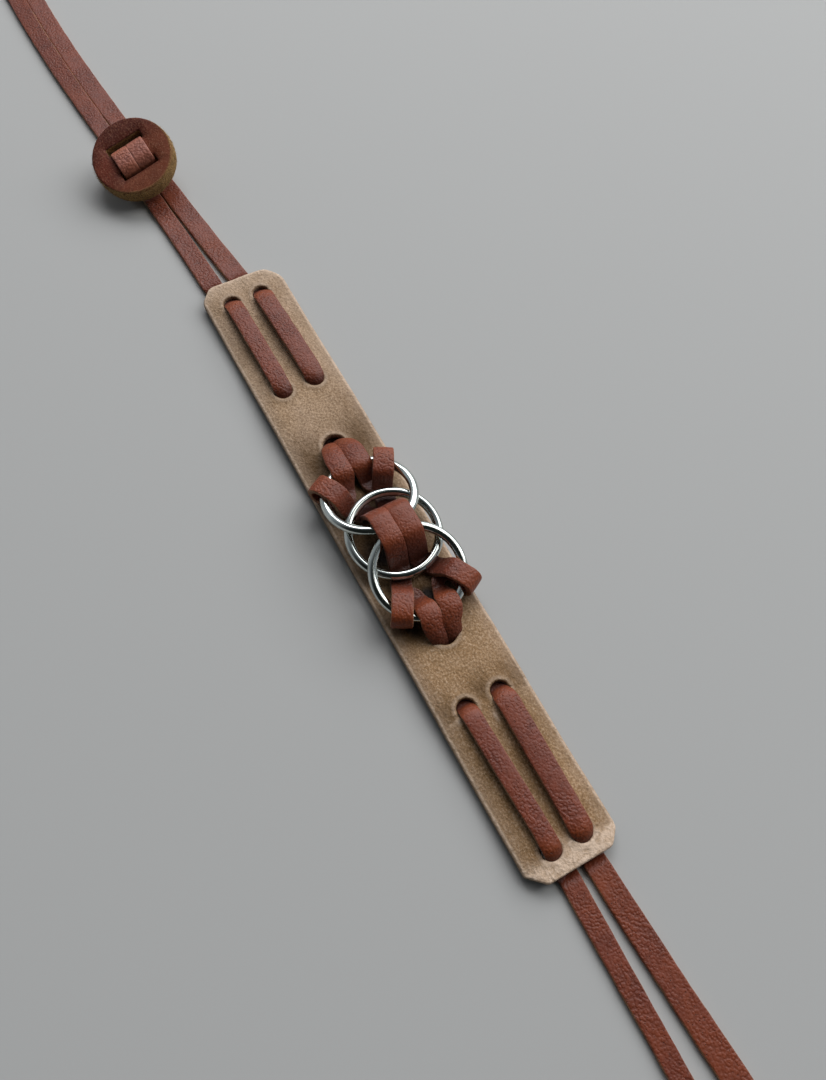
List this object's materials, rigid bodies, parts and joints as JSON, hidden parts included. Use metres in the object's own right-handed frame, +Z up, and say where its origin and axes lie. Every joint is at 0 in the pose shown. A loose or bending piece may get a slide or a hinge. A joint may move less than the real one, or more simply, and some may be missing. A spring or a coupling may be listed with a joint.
{
  "type": "laced leather headband",
  "caption": "Flat leather hair band with a doubled leather lace woven through its holes and over metal rings, closed by a loop and a sliding leather button.",
  "frame": {"origin": "on the surface the band rests on, under the middle of the band", "axes": "+X along the band towards the lace's loop, +Y across the band, +Z up out of the band's face"},
  "size_m": [0.4666, 0.0318, 0.0105],
  "materials": {
    "band_leather": "fine-grained natural leather, satin",
    "lace_leather": "smooth red-brown leather, satin",
    "button_leather": "smooth face with a raw cut edge",
    "ring_metal": "polished nickel"
  },
  "bodies": {
    "headband": {"band": "band_leather", "ring_upper": "ring_metal", "ring_centre": "ring_metal", "ring_lower": "ring_metal", "lace_left": "lace_leather", "lace_right": "lace_leather", "tail_left": "lace_leather", "tail_right": "lace_leather", "loop_lace": "lace_leather", "tail_hank": "lace_leather", "end_knot": "lace_leather"},
    "slider": {"slider_button": "button_leather", "bridge_lace_left": "lace_leather", "bridge_lace_right": "lace_leather"}
  },
  "joints": [
    {"name": "slider_slide", "type": "slide", "parent": "headband", "child": "slider", "axis": [-0.995, -0.0995, 0], "range_m": [-0.026, 0.048]}
  ]
}
